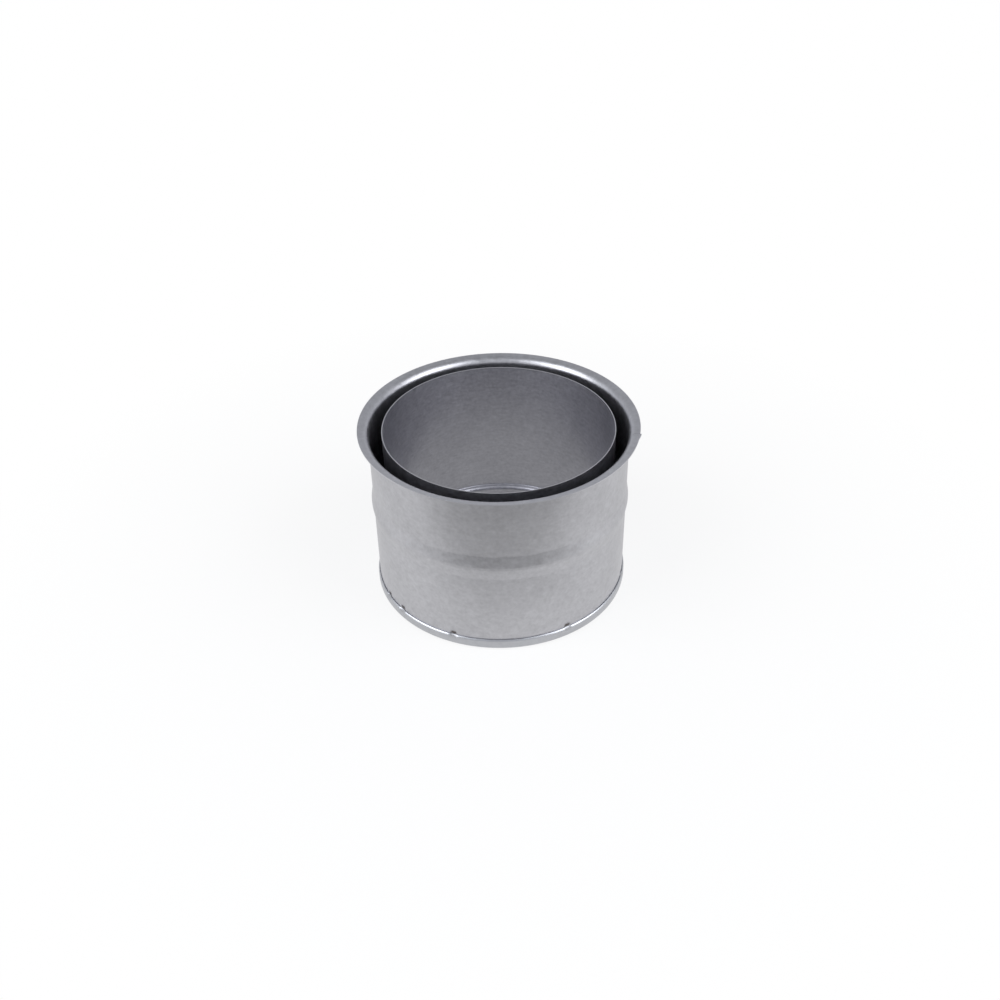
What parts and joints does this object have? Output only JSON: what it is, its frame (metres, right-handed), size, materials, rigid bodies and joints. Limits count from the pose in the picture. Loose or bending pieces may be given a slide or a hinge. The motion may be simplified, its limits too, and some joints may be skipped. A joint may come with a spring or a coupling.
{
  "type": "flue wall sleeve",
  "caption": "Round metal wall sleeve for a flue pipe: an inner tube inside an outer tube with a flared collar, a shallow bead and a crimped ring that closes the back.",
  "frame": {"origin": "centre of the back face, on the axis of both sleeves", "axes": "+Z along the axis from the back face to the collar, -Y towards the side that the picture shows in front"},
  "size_m": [0.1834, 0.1834, 0.1201],
  "materials": {
    "outer_sheet": "satin, aluminised",
    "inner_sheet": "satin, aluminised",
    "ring_sheet": "satin, aluminised"
  },
  "bodies": {
    "root": {"outer_sleeve": "outer_sheet", "inner_sleeve": "inner_sheet", "base_ring": "ring_sheet"}
  },
  "joints": []
}
